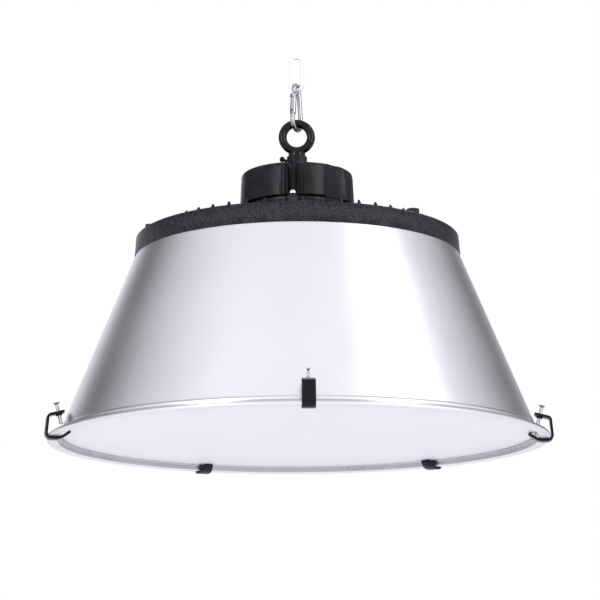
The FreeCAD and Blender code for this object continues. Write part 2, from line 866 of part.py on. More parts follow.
def heat_sink():
    """The one-piece casting: rim, plate, hub, fins, screw pillars and rim bosses."""
    pillars = around(upright_post(pillar_radius, column_distance, plate_top - 1, lug_foot),
                     column_count, column_azimuth)
    bosses = around(upright_post(rim_boss_radius, rim_boss_distance, plate_top - 1,
                                 rim_top + rim_boss_rise), rim_boss_count, rim_boss_azimuth)
    fins = around(cooling_fin(), fin_count, fin_azimuth)
    body = joined([heat_sink_rings()] + fins + pillars + bosses)
    base_room = rod(2 * (base_radius + running_gap), hub_top, case_foot)
    boss_holes = around(upright_post(rim_boss_hole / 2, rim_boss_distance, rim_top - 4,
                                     rim_top + rim_boss_rise), rim_boss_count, rim_boss_azimuth)
    pillar_holes = around(upright_post(case_screw_diameter / 2 + seat_gap, column_distance,
                                       lug_top - case_screw_length - 1, lug_foot),
                          column_count, column_azimuth)
    shade_holes = around(upright_post(shade_screw_diameter / 2 + seat_gap, shade_screw_distance,
                                      rim_foot, rim_foot + shade_screw_depth + 1),
                         shade_screw_count, shade_screw_azimuth)
    lens_holes = around(upright_post(lens_screw_diameter / 2 + seat_gap, lens_screw_distance,
                                     plate_foot, plate_foot + lens_screw_depth),
                        lens_screw_count, lens_screw_azimuth)
    lead_hole = rod(base_lead_hole, plate_foot, plate_top)
    return body.cut(boss_holes + pillar_holes + shade_holes + lens_holes
                    + [lead_hole, base_room])


# ---- light engine ----
shade_screw_distance = rim_foot_radius - rim_land_width / 2
led_board_foot = plate_foot - led_board_thickness
lens_top = led_board_foot - led_height - 0.6
lens_foot = lens_top - lens_thickness
lens_screw_distance = lens_radius + lens_ring_width / 4


def led_board():
    """The round aluminium circuit board under the heat sink."""
    board = rod(2 * led_board_radius, led_board_foot, plate_foot)
    return board.cut(rod(base_lead_hole, led_board_foot, plate_foot))


def led_chips():
    """Square light-emitting diodes in three rings."""
    chips = []
    for radius, count in zip(led_ring_radii, led_ring_counts):
        chip = Part.makeBox(led_size, led_size, led_height,
                            Vector(radius - led_size / 2, -led_size / 2,
                                   led_board_foot - led_height))
        chips += around(chip, count, 0)
    return Part.makeCompound(chips)


def lens_plate():
    """The clear moulded lens plate, thick at its lip."""
    lip = lens_radius - lens_lip_width
    return turned([
        (0, lens_foot), (lens_radius, lens_foot), (lens_radius, lens_gasket_foot),
        (lip, lens_gasket_foot), (lip - 1, lens_top), (0, lens_top),
    ])


lens_gasket_foot = plate_foot - lens_gasket_thickness


def lens_gasket():
    """The silicone ring between the lens lip and the heat sink."""
    inner = lens_radius - 1 - lens_gasket_width
    return rod(2 * (inner + lens_gasket_width), lens_gasket_foot, plate_foot).cut(
        rod(2 * inner, lens_gasket_foot, plate_foot))


def lens_ring():
    """The stepped ring that holds the lens plate up."""
    outer = lens_radius + lens_ring_width / 2
    inner = lens_radius - lens_ring_width / 2
    foot = lens_foot - lens_ring_thickness
    bore = lens_radius + running_gap
    holes = around(upright_post(lens_screw_diameter / 2 + seat_gap, lens_screw_distance,
                                foot, plate_foot), lens_screw_count, lens_screw_azimuth)
    return turned([
        (inner, foot), (outer, foot), (outer, plate_foot), (bore, plate_foot),
        (bore, lens_foot), (inner, lens_foot),
    ]).cut(holes)


def lens_screws():
    """Small pan-head screws through the lens ring."""
    seat = lens_foot - lens_ring_thickness
    head = crossed_head(lens_screw_head, lens_screw_head_height, 0.9)
    shank = rod(lens_screw_diameter, seat - plate_foot - lens_screw_depth + 1, 0)
    screw = joined([head, shank])
    screw.rotate(ORIGIN, X_AXIS, 180)
    screw.translate(Vector(lens_screw_distance, 0, seat))
    return Part.makeCompound(around(screw, lens_screw_count, lens_screw_azimuth))


# ---- reflector shade ----
waist = shade_foot + shade_waist_height
bead_foot = waist - bead_height
throat_radius = shade_waist_radius + bead_swell


def shade_run():
    """Corners of the shade's outer face, from its top flange to its rolled lip."""
    return section([
        (shade_top_radius - shade_flange_width, rim_foot), (shade_top_radius, rim_foot),
        (shade_waist_radius, waist),
        (throat_radius, waist - bead_height * 0.3), (throat_radius, bead_foot),
        (flare_radius, shade_foot + lip_height), (flare_radius, shade_foot),
        (flare_radius - lip_width, shade_foot),
    ])


def shade():
    """The spun aluminium cone, beaded and flared at its mouth, with a rolled lip."""
    radii = [shade_sheet, 0.6, 1.6, 1.6, lip_bend, lip_bend]
    body = bent_sheet(shade_run(), radii, -shade_sheet).revolve(ORIGIN, Z_AXIS, FULL_TURN)
    holes = around(upright_post(shade_screw_diameter / 2 + seat_gap, shade_screw_distance,
                                rim_foot - 2 * shade_sheet, rim_foot),
                   shade_screw_count, shade_screw_azimuth)
    return body.cut(holes)


def shade_screws():
    """Pan-head screws that hold the shade up to the heat sink."""
    seat = rim_foot - shade_sheet
    head = crossed_head(shade_screw_head, shade_screw_head_height, 0.9)
    shank = rod(shade_screw_diameter, -shade_screw_depth - shade_sheet, 0)
    screw = joined([head, shank])
    screw.rotate(ORIGIN, X_AXIS, 180)
    screw.translate(Vector(shade_screw_distance, 0, seat))
    return Part.makeCompound(around(screw, shade_screw_count, shade_screw_azimuth))


# ---- diffuser ----
diffuser_foot = shade_foot + diffuser_lift
diffuser_top = diffuser_foot + diffuser_thickness
diffuser_radius = throat_radius - shade_sheet - diffuser_gap


def diffuser():
    """The flat opal disc that closes the mouth."""
    edge = diffuser_edge
    return turned([
        (0, diffuser_foot), (diffuser_radius - edge, diffuser_foot),
        (diffuser_radius, diffuser_foot + edge), (diffuser_radius, diffuser_top - edge),
        (diffuser_radius - edge, diffuser_top), (0, diffuser_top),
    ])


def diffuser_gasket():
    """The soft ring between the disc and the inside of the bead."""
    outer = diffuser_radius - diffuser_gasket_inset
    inner = outer - diffuser_gasket_width
    top = diffuser_top + diffuser_gasket_thickness
    return turned([(inner, diffuser_top), (outer, diffuser_top), (outer, top), (inner, top)])


# ---- rim clips ----
clip_heel_radius = flare_radius + clip_lip_gap + clip_heel_reach
clip_heel_level = shade_foot - running_gap
clip_head_radius = clip_heel_radius - clip_leg_lean
clip_head_level = shade_foot + clip_top_height
clip_tongue_start = flare_radius - lip_width - clip_tongue_root
clip_tongue_end = clip_tongue_start - clip_tongue_reach
clip_slope = math.radians(clip_arm_slope)
clip_arm = Vector(-math.cos(clip_slope), 0, math.sin(clip_slope))


def clip_run():
    """Corners of the strip's inner face, from the arm's end to the tongue's tip."""
    head = Vector(clip_head_radius, 0, clip_head_level)
    return [
        head + clip_arm * clip_arm_reach, head,
        Vector(clip_heel_radius, 0, clip_heel_level),
        Vector(clip_tongue_start, 0, clip_heel_level),
        Vector(clip_tongue_end, 0, diffuser_foot - running_gap),
    ]


clip_hole_place = (Vector(clip_head_radius, 0, clip_head_level)
                   + clip_arm * (clip_arm_reach - clip_hole_setback))


def on_clip_hole(shape):
    """Sets a piece built about Z on the clip's screw hole, square to the arm."""
    placed = shape.copy()
    placed.rotate(ORIGIN, Y_AXIS, clip_arm_slope)
    placed.translate(clip_hole_place)
    return placed


def rim_clip():
    """A steel strip bent to grip the rim, with a drawn collar for its screw."""
    radii = [clip_bend - clip_strip, clip_heel_bend - clip_strip, clip_tongue_bend]
    strip = bent_sheet(clip_run(), radii, clip_strip).extrude(Y_AXIS * clip_width)
    strip.translate(-Y_AXIS * (clip_width / 2))
    corners = []
    for side in (-1, 1):
        corners.append(Part.Face(Part.makePolygon([
            Vector(clip_tongue_end - 2, side * clip_tongue_tip / 2, clip_heel_level - clip_strip),
            Vector(clip_tongue_end - 2, side * clip_width, clip_heel_level - clip_strip),
            Vector(clip_tongue_end + clip_tongue_taper, side * clip_width,
                   clip_heel_level - clip_strip),
            Vector(clip_tongue_end + clip_tongue_taper, side * clip_width / 2,
                   clip_heel_level - clip_strip),
            Vector(clip_tongue_end - 2, side * clip_tongue_tip / 2, clip_heel_level - clip_strip),
        ])).extrude(Z_AXIS * (diffuser_lift + clip_strip)))
    collar = on_clip_hole(rod(clip_collar_diameter, -clip_collar_height, clip_strip / 2))
    hole = on_clip_hole(rod(clip_screw_diameter + 2 * seat_gap, -2 * clip_collar_height,
                            2 * clip_strip))
    return joined([strip.cut(corners), collar]).cut(hole)


def clip_screw():
    """The countersunk cross-head screw that presses on the shade's rim."""
    head = clip_screw_head / 2
    shank = clip_screw_diameter / 2
    top = clip_screw_rise
    foot = top - clip_screw_length
    body = turned([
        (0, top), (head, top), (head, top - 0.3), (shank, top - clip_screw_head_height),
        (shank, foot + 0.7), (shank - 0.7, foot), (0, foot),
    ])
    slots = []
    for length, width in ((clip_screw_cross, clip_screw_cross_width),
                          (clip_screw_cross_width, clip_screw_cross)):
        slots.append(Part.makeBox(length, width, clip_screw_cross_depth + 1,
                                  Vector(-length / 2, -width / 2, top - clip_screw_cross_depth)))
    return on_clip_hole(body.cut(slots))


# ---- build ----
save("chain_link", chain_link())
for name, maker in (
        ("snap_hook", snap_hook), ("hook_gate", hook_gate), ("gate_rivet", gate_rivet),
        ("gate_pin", gate_pin), ("gate_spring", gate_spring)):
    save(name, on_hook(maker()))
for maker in (
        eyebolt, eyebolt_washer, eyebolt_nut, locking_screw, driver_case, case_gasket,
        driver_base, case_screws, driver_board, board_spacers, transformer, capacitors,
        heat_sink, led_board, led_chips, lens_plate, lens_gasket, lens_ring, lens_screws,
        shade, shade_screws, diffuser, diffuser_gasket):
    save(maker.__name__, maker())
for maker in (gland_body, gland_seal, gland_nut, gland_locknut):
    save(maker.__name__, on_gland(maker()))
for position, azimuth in clip_azimuths.items():
    save("clip_" + position, at_azimuth(rim_clip(), azimuth))
save("clip_screws", Part.makeCompound(
    [at_azimuth(clip_screw(), azimuth) for azimuth in clip_azimuths.values()]))
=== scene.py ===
import bpy
import math
from mathutils import Matrix, Vector


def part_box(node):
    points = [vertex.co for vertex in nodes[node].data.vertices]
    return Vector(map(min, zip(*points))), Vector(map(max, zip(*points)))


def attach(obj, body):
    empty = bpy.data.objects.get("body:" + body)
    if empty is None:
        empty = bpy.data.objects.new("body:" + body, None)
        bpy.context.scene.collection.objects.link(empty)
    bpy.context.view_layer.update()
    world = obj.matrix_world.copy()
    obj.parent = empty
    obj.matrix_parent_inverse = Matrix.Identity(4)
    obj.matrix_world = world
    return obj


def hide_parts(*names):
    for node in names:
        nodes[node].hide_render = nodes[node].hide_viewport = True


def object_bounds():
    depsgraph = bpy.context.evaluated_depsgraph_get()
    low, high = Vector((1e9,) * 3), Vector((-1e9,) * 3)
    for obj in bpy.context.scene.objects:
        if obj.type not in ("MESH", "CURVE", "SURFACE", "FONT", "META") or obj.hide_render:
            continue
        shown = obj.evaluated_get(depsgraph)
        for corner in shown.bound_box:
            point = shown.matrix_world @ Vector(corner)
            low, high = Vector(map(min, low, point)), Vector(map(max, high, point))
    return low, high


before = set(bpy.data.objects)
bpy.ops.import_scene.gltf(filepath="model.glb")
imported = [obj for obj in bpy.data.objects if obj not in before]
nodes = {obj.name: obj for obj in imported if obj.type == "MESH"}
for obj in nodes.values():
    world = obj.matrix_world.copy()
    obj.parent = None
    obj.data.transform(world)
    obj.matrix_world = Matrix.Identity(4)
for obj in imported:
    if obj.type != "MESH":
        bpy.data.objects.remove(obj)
cad_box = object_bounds()

# ---------------------------------------------------------------- the studio
# A pale floor well below the hanging lamp, a white surround, strip lights at the front
# corners, soft boxes above and behind, and a camera a little below, tipped up at it.
lamp_foot = cad_box[0].z
floor_drop = 0.9
floor_size = 16
bpy.ops.object.select_all(action="DESELECT")
bpy.ops.mesh.primitive_plane_add(size=floor_size, location=(0, 0, lamp_foot - floor_drop))
floor = bpy.context.object
floor.name = "studio_floor"

floor_paint = bpy.data.materials.new("pale_floor")
floor_paint.use_nodes = True
floor_look = floor_paint.node_tree.nodes["Principled BSDF"]
floor_look.inputs["Base Color"].default_value = (0.82, 0.82, 0.83, 1)
floor_look.inputs["Roughness"].default_value = 0.85
floor.data.materials.append(floor_paint)


def soft_lamp(name, place, target, width, height, power):
    """A soft box or strip light that faces a point on the lamp."""
    bpy.ops.object.light_add(type="AREA", location=place)
    light = bpy.context.object
    light.name = name
    light.data.shape = "RECTANGLE"
    light.data.size = width
    light.data.size_y = height
    light.data.energy = power
    light.rotation_mode = "QUATERNION"
    light.rotation_quaternion = (Vector(target) - Vector(place)).to_track_quat("-Z", "Y")


shade_aim = 0.1
sink_aim = 0.22
shade_middle = (0, 0, lamp_foot + shade_aim)
sink_middle = (0, 0, lamp_foot + sink_aim)
soft_lamp("lamp_left", (-1.5, -1.9, 0.42), sink_middle, width=0.14, height=1.2, power=13)
soft_lamp("lamp_right", (1.7, -1.7, 0.42), sink_middle, width=0.14, height=1.2, power=13)
soft_lamp("lamp_high", (2.1, -1.1, 1.5), shade_middle, width=1.5, height=1.5, power=8)
soft_lamp("lamp_back", (0.2, 1.8, 1.0), shade_middle, width=0.8, height=0.8, power=6)

# What bright metal mirrors: a room that is white in front of the lamp, grey at its
# sides, dark further back and white again right behind it. All else sees an even white.
room_axis = (-0.14, 0.99, 0)
room_levels = ((0.34, 0.94), (0.58, 0.66), (0.73, 0.34), (0.84, 0.06), (0.91, 0.28),
               (0.96, 0.9))
room_tint = (0.99, 0.99, 1.06)
surround = bpy.data.worlds.new("white_surround")
surround.use_nodes = True
bpy.context.scene.world = surround
air = surround.node_tree.nodes
wires = surround.node_tree.links
air.clear()
paths = air.new("ShaderNodeLightPath")
heading = air.new("ShaderNodeTexCoord")
behind = air.new("ShaderNodeVectorMath")
behind.operation = "DOT_PRODUCT"
behind.inputs[1].default_value = room_axis
wires.new(heading.outputs["Generated"], behind.inputs[0])
depth = air.new("ShaderNodeMapRange")
depth.inputs["From Min"].default_value = -1
depth.inputs["From Max"].default_value = 1
wires.new(behind.outputs["Value"], depth.inputs["Value"])
room = air.new("ShaderNodeValToRGB")
for end, position in zip(room.color_ramp.elements, (0.0, 1.0)):
    end.position = position
    end.color = (1, 1, 1, 1)
for place, level in room_levels:
    stop = room.color_ramp.elements.new(place)
    stop.color = (*(level * part for part in room_tint), 1)
wires.new(depth.outputs["Result"], room.inputs["Fac"])
mirrored = air.new("ShaderNodeBackground")
mirrored.inputs["Strength"].default_value = 1.0
wires.new(room.outputs["Color"], mirrored.inputs["Color"])
fill = air.new("ShaderNodeBackground")
fill.inputs["Color"].default_value = (0.95, 0.96, 1.0, 1)
fill.inputs["Strength"].default_value = 1.0
backdrop = air.new("ShaderNodeBackground")
backdrop.inputs["Color"].default_value = (1, 1, 1, 1)
backdrop.inputs["Strength"].default_value = 1.0
lit = air.new("ShaderNodeMixShader")
wires.new(paths.outputs["Is Glossy Ray"], lit.inputs["Fac"])
wires.new(fill.outputs["Background"], lit.inputs[1])
wires.new(mirrored.outputs["Background"], lit.inputs[2])
seen = air.new("ShaderNodeMixShader")
wires.new(paths.outputs["Is Camera Ray"], seen.inputs["Fac"])
wires.new(lit.outputs["Shader"], seen.inputs[1])
wires.new(backdrop.outputs["Background"], seen.inputs[2])
sky = air.new("ShaderNodeOutputWorld")
wires.new(seen.outputs["Shader"], sky.inputs["Surface"])

camera_place = (0.0024, -2.2367, -0.7344)
camera_tip = 11.745
camera_roll = -0.36
bpy.ops.object.camera_add(location=camera_place)
camera = bpy.context.object
camera.name = "studio_camera"
camera.data.sensor_width = 36
camera.data.lens = 127.9
camera.data.clip_end = 50
tilt = Matrix.Rotation(math.radians(90 + camera_tip), 4, "X")
lean = Matrix.Rotation(math.radians(camera_roll), 4, "Z")
camera.matrix_world = Matrix.Translation(camera.location) @ tilt @ lean
bpy.context.scene.camera = camera
bpy.context.scene.view_settings.view_transform = "Standard"

# ---------------------------------------------------------------- the heat sink
# One aluminium diecasting: a finned plate with a hub, screw pillars and a drafted rim,
# in a coarse black powder coat. The fins fall in a curve from the hub, run level and
# end in small peaks.
mm = 0.001


def new_group(name, inputs, outputs):
    """An empty shader node group with its named sockets."""
    group = bpy.data.node_groups.new(name, "ShaderNodeTree")
    for label, value in inputs:
        socket = group.interface.new_socket(label, in_out="INPUT", socket_type="NodeSocketFloat")
        socket.default_value = value
    for label in outputs:
        group.interface.new_socket(label, in_out="OUTPUT", socket_type="NodeSocketFloat")
    return group, group.nodes.new("NodeGroupInput"), group.nodes.new("NodeGroupOutput")


def noise_at(tree, vector, scale, detail=3.0, roughness=0.5):
    """A noise texture on the given coordinates, at the scale that a socket gives."""
    noise = tree.nodes.new("ShaderNodeTexNoise")
    noise.inputs["Detail"].default_value = detail
    noise.inputs["Roughness"].default_value = roughness
    tree.links.new(scale, noise.inputs["Scale"])
    tree.links.new(vector, noise.inputs["Vector"])
    return noise


# Grain: the fine pits of a blasted, cast or powder-coated skin, as a height.
grain_softness = 0.5
grain, grain_in, grain_out = new_group(
    "surface_grain", [("Scale", 900.0), ("Softness", grain_softness)], ["Height"])
grain_where = grain.nodes.new("ShaderNodeTexCoord")
grain_fine = noise_at(grain, grain_where.outputs["Object"], grain_in.outputs["Scale"], 4.0, 0.6)
grain_third = grain.nodes.new("ShaderNodeMath")
grain_third.operation = "MULTIPLY"
grain_third.inputs[1].default_value = 0.33
grain.links.new(grain_in.outputs["Scale"], grain_third.inputs[0])
grain_broad = noise_at(grain, grain_where.outputs["Object"], grain_third.outputs["Value"])
grain_mix = grain.nodes.new("ShaderNodeMix")
grain.links.new(grain_in.outputs["Softness"], grain_mix.inputs["Factor"])
grain.links.new(grain_fine.outputs["Fac"], grain_mix.inputs["A"])
grain.links.new(grain_broad.outputs["Fac"], grain_mix.inputs["B"])
grain.links.new(grain_mix.outputs["Result"], grain_out.inputs["Height"])

# Drift: a slow unevenness, as a value between two others and as a mask from 0 to 1.
drift, drift_in, drift_out = new_group(
    "slow_drift", [("Scale", 20.0), ("Low", 0.3), ("High", 0.4)], ["Value", "Mask"])
drift_where = drift.nodes.new("ShaderNodeTexCoord")
drift_noise = noise_at(drift, drift_where.outputs["Object"], drift_in.outputs["Scale"], 2.0)
for output in ("Value", "Mask"):
    drift_range = drift.nodes.new("ShaderNodeMapRange")
    drift_range.clamp = False
    drift_range.inputs["From Min"].default_value = 0.3
    drift_range.inputs["From Max"].default_value = 0.7
    drift.links.new(drift_noise.outputs["Fac"], drift_range.inputs["Value"])
    drift.links.new(drift_range.outputs["Result"], drift_out.inputs[output])
    if output == "Value":
        drift.links.new(drift_in.outputs["Low"], drift_range.inputs["To Min"])
        drift.links.new(drift_in.outputs["High"], drift_range.inputs["To Max"])


def place_group(material, group, **values):
    """Places a shared effect in a material with its own values."""
    node = material.node_tree.nodes.new("ShaderNodeGroup")
    node.node_tree = group
    for label, value in values.items():
        node.inputs[label].default_value = value
    return node


def finish_of(name, colours, roughness, metallic, grain_scale, grain_depth,
              tone_scale=25.0, specular=0.5, transmission=0.0):
    """A material with drifting tone and roughness and a fine grain in its surface."""
    material = bpy.data.materials.new(name)
    material.use_nodes = True
    tree = material.node_tree
    skin = tree.nodes["Principled BSDF"]
    skin.inputs["Metallic"].default_value = metallic
    skin.inputs["Specular IOR Level"].default_value = specular
    skin.inputs["Transmission Weight"].default_value = transmission
    wander = place_group(material, drift, Scale=tone_scale, Low=roughness[0], High=roughness[1])
    tree.links.new(wander.outputs["Value"], skin.inputs["Roughness"])
    tone = tree.nodes.new("ShaderNodeMix")
    tone.data_type = "RGBA"
    tone.inputs["A"].default_value = (*colours[0], 1)
    tone.inputs["B"].default_value = (*colours[1], 1)
    tree.links.new(wander.outputs["Mask"], tone.inputs["Factor"])
    tree.links.new(tone.outputs["Result"], skin.inputs["Base Color"])
    pits = place_group(material, grain, Scale=grain_scale, Softness=grain_softness)
    bump = tree.nodes.new("ShaderNodeBump")
    bump.inputs["Strength"].default_value = 1.0
    bump.inputs["Distance"].default_value = grain_depth
    tree.links.new(pits.outputs["Height"], bump.inputs["Height"])
    tree.links.new(bump.outputs["Normal"], skin.inputs["Normal"])
    return material


def wear(node_names, material):
    """Gives CAD nodes their finish."""
    for name in node_names:
        for slot in nodes[name].material_slots:
            slot.material = material


def take_up(*pieces):
    """Selects these pieces alone, and makes the first one active."""
    bpy.ops.object.select_all(action="DESELECT")
    for piece in pieces:
        piece.select_set(True)
    bpy.context.view_layer.objects.active = pieces[0]


def add_modifier(piece, kind, **settings):
    """Adds one modifier with its settings and applies it."""
    take_up(piece)
    modifier = piece.modifiers.new(kind.lower(), kind)
    for label, value in settings.items():
        setattr(modifier, label, value)
    bpy.ops.object.modifier_apply(modifier=modifier.name)


def finish_piece(piece, node_names, body, material, angle=30.0):
    """Smooths, paints and mounts a piece that stands for CAD nodes."""
    take_up(piece)
    bpy.ops.object.shade_smooth_by_angle(angle=math.radians(angle))
    piece.data.materials.clear()
    piece.data.materials.append(material)
    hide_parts(*node_names)
    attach(piece, body)


def whole_copy(name, node_name):
    """A copy of a CAD node with its flat faces made whole."""
    piece = bpy.data.objects.new(name, nodes[node_name].data.copy())
    bpy.context.scene.collection.objects.link(piece)
    take_up(piece)
    bpy.ops.object.mode_set(mode="EDIT")
    bpy.ops.mesh.select_all(action="SELECT")
    bpy.ops.mesh.remove_doubles(threshold=0.002 * mm)
    bpy.ops.mesh.normals_make_consistent(inside=False)
    bpy.ops.mesh.dissolve_limited(angle_limit=math.radians(0.5))
    bpy.ops.object.mode_set(mode="OBJECT")
    return piece


def drawn_line(name, run):
    """An open line through radius and level pairs, left in edit mode."""
    bpy.ops.object.select_all(action="DESELECT")
    start_radius, start_level = run[0]
    bpy.ops.mesh.primitive_plane_add(size=mm, location=(start_radius, 0, start_level))
    piece = bpy.context.object
    piece.name = name
    bpy.ops.object.mode_set(mode="EDIT")
    bpy.ops.mesh.select_mode(type="VERT")
    bpy.ops.mesh.select_all(action="SELECT")
    bpy.ops.mesh.merge(type="CENTER")
    for (radius, level), (onward, rise) in zip(run, run[1:]):
        bpy.ops.mesh.extrude_vertices_move(
            TRANSFORM_OT_translate={"value": (onward - radius, 0, rise - level)})
    return piece


def spin_round(steps):
    """Spins what is being edited about the lamp's axis and closes it."""
    bpy.ops.mesh.select_all(action="SELECT")
    bpy.ops.mesh.spin(steps=steps, angle=2 * math.pi, center=(0, 0, 0), axis=(0, 0, 1))
    bpy.ops.mesh.select_all(action="SELECT")
    bpy.ops.mesh.remove_doubles(threshold=0.005 * mm)
    bpy.ops.mesh.normals_make_consistent(inside=False)
    bpy.ops.object.mode_set(mode="OBJECT")


def place_applied():
    """Moves the selected pieces' place, turn and scale into their meshes."""
    bpy.ops.object.transform_apply(location=True, rotation=True, scale=True)


def turned_piece(name, profile, steps):
    """Spins a half section of radius and level pairs about the lamp's axis."""
    piece = drawn_line(name, profile)
    spin_round(steps)
    place_applied()
    return piece


grained_black = finish_of(
    "coarse_black_powder", colours=((0.0, 0.0, 0.0), (0.030, 0.030, 0.046)),
    roughness=(0.16, 0.46), metallic=0.0, grain_scale=380, grain_depth=0.0030,
    tone_scale=420.0, specular=0.3)
wear(["heat_sink"], grained_black)
sink_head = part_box("heat_sink")[1].z
fin_curve = ((68, 18.4), (71, 21.6), (75, 24.2), (80, 26.1), (86, 27.1))
fin_top = sink_head - 27.3 * mm
fin_peak = sink_head - 23.7 * mm
fin_level_start = 92 * mm
fin_end = 152.0 * mm
fin_foot = fin_top - 0.6 * mm
cutter_side = fin_end + 1.5 * mm
cutter_head = sink_head - 12.0 * mm
fin_line = [(radius * mm, sink_head - drop * mm) for radius, drop in fin_curve]
sink_trim = turned_piece("fin_trim", [
    *fin_line, (fin_level_start, fin_top), (fin_end - 5 * mm, fin_top),
    (fin_end - 2.6 * mm, fin_peak), (fin_end + 0.4 * mm, fin_foot),
    (cutter_side, fin_foot), (cutter_side, cutter_head), (fin_line[0][0], cutter_head),
    fin_line[0]], steps=96)
cast_sink = whole_copy("cast_heat_sink", "heat_sink")
add_modifier(cast_sink, "BOOLEAN", operation="DIFFERENCE", object=sink_trim, solver="EXACT")
bpy.data.objects.remove(sink_trim)
finish_piece(cast_sink, ["heat_sink"], "lamp", grained_black, angle=35.0)

# ---------------------------------------------------------------- the LED board
# A round aluminium board with a white mask, set under the heat sink, with square diodes
# soldered to it in three rings. Each diode shows the yellow of its phosphor.
white_board = finish_of(
    "white_board", colours=((0.80, 0.80, 0.80), (0.86, 0.86, 0.86)),
    roughness=(0.35, 0.45), metallic=0.0, grain_scale=400, grain_depth=0.00002)
phosphor = finish_of(
    "led_phosphor", colours=((0.85, 0.65, 0.12), (0.95, 0.78, 0.20)),
    roughness=(0.3, 0.4), metallic=0.0, grain_scale=500, grain_depth=0.00002)
wear(["led_board"], white_board)
wear(["led_chips"], phosphor)

# ---------------------------------------------------------------- the lens
# A clear moulded plate under the diodes, with a silicone ring between its lip and the
# heat sink. A stepped steel ring and eight small plated screws hold it up.
clear_lens = finish_of(
    "clear_lens", colours=((0.92, 0.94, 0.95), (0.95, 0.96, 0.97)),
    roughness=(0.05, 0.10), metallic=0.0, grain_scale=300, grain_depth=0.00001,
    transmission=1.0)
black_rubber = finish_of(
    "black_rubber", colours=((0.02, 0.02, 0.02), (0.03, 0.03, 0.03)),
    roughness=(0.6, 0.75), metallic=0.0, grain_scale=700, grain_depth=0.00005)
screw_steel = finish_of(
    "plated_screw_steel", colours=((0.74, 0.74, 0.75), (0.80, 0.80, 0.82)),
    roughness=(0.24, 0.32), metallic=1.0, grain_scale=900, grain_depth=0.00002,
    tone_scale=60.0)
wear(["lens_plate"], clear_lens)
wear(["lens_gasket"], black_rubber)
wear(["lens_ring", "lens_screws"], screw_steel)

# ---------------------------------------------------------------- the driver
# A round green circuit board with a ferrite transformer and sleeved capacitors. Nylon
# spacers carry it on the black base plate that closes the case.
cast_black = finish_of(
    "textured_black_powder", colours=((0.002, 0.002, 0.003), (0.012, 0.012, 0.017)),
    roughness=(0.28, 0.36), metallic=0.0, grain_scale=600, grain_depth=0.00015,
    tone_scale=60.0, specular=0.2)
ivory_nylon = finish_of(
    "ivory_nylon", colours=((0.75, 0.74, 0.66), (0.82, 0.81, 0.74)),
    roughness=(0.4, 0.5), metallic=0.0, grain_scale=500, grain_depth=0.00002)
green_board = finish_of(
    "green_board", colours=((0.01, 0.10, 0.04), (0.02, 0.16, 0.06)),
    roughness=(0.3, 0.4), metallic=0.0, grain_scale=400, grain_depth=0.00002)
ferrite = finish_of(
    "ferrite", colours=((0.05, 0.05, 0.055), (0.09, 0.09, 0.10)),
    roughness=(0.5, 0.6), metallic=0.2, grain_scale=500, grain_depth=0.00005)
can_sleeve = finish_of(
    "can_sleeve", colours=((0.02, 0.03, 0.08), (0.03, 0.05, 0.12)),
    roughness=(0.25, 0.35), metallic=0.0, grain_scale=300, grain_depth=0.00002)
wear(["driver_base"], cast_black)
wear(["board_spacers"], ivory_nylon)
wear(["driver_board"], green_board)
wear(["transformer"], ferrite)
wear(["capacitors"], can_sleeve)

# ---------------------------------------------------------------- the driver case
# A diecasting with a boss for the eye, screw columns and two scoops, in textured black
# powder coat, which rounds its sharp edges. Four domed screws hold it to the heat sink.
case_edge = 0.5 * mm
case_edge_angle = 40.0
wear(["driver_case"], cast_black)
wear(["case_gasket"], black_rubber)
wear(["case_screws"], screw_steel)
cast_case = whole_copy("cast_driver_case", "driver_case")
add_modifier(cast_case, "BEVEL", width=case_edge, segments=2, limit_method="ANGLE",
             angle_limit=math.radians(case_edge_angle), harden_normals=False,
             use_clamp_overlap=True)
finish_piece(cast_case, ["driver_case"], "lamp", cast_black, angle=35.0)

# ---------------------------------------------------------------- the cable gland
# A black nylon gland in the rear scoop of the case: a body with a locknut inside, and
# a cap nut that squeezes a rubber bush round the supply cable.
black_nylon = finish_of(
    "black_nylon", colours=((0.015, 0.015, 0.016), (0.022, 0.022, 0.024)),
    roughness=(0.45, 0.55), metallic=0.0, grain_scale=900, grain_depth=0.00003)
wear(["gland_body", "gland_nut", "gland_locknut"], black_nylon)
wear(["gland_seal"], black_rubber)

# ---------------------------------------------------------------- the eyebolt
# A drop-forged lifting eye in gloss black, which runs smoothly into a round shoulder
# and a threaded shank. A washer and nut hold it under the roof of the case, and a long
# black screw stops it from turning.
def joined_pieces(pieces):
    """Joins several meshes into the first one."""
    take_up(*pieces)
    bpy.ops.object.join()
    return bpy.context.object


gloss_black = finish_of(
    "gloss_black", colours=((0.001, 0.001, 0.0015), (0.002, 0.002, 0.003)),
    roughness=(0.05, 0.09), metallic=0.0, grain_scale=260, grain_depth=0.00006,
    tone_scale=60.0, specular=0.3)
zinc_steel = finish_of(
    "bright_zinc", colours=((0.42, 0.42, 0.43), (0.50, 0.50, 0.52)),
    roughness=(0.30, 0.36), metallic=1.0, grain_scale=900, grain_depth=0.00001,
    tone_scale=40.0)
wear(["eyebolt", "locking_screw"], gloss_black)
wear(["eyebolt_washer", "eyebolt_nut"], zinc_steel)
eye_low, eye_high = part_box("eyebolt")
eye_bar = 4.5 * mm
eye_bend = 15.4 * mm
shoulder_radius = 9.2 * mm
shoulder_edge = 8.8 * mm
shank_radius = 6.0 * mm
forging_blend = 0.42 * mm
eye_centre = eye_high.z - eye_bar - eye_bend
eye_root = eye_centre - eye_bend
shoulder_foot = eye_root - eye_bar - 2.8 * mm
bpy.ops.object.select_all(action="DESELECT")
bpy.ops.mesh.primitive_torus_add(
    major_radius=eye_bend, minor_radius=eye_bar, major_segments=112, minor_segments=44,
    location=(0, 0, eye_centre), rotation=(math.pi / 2, 0, 0))
eye_ring = bpy.context.object
place_applied()
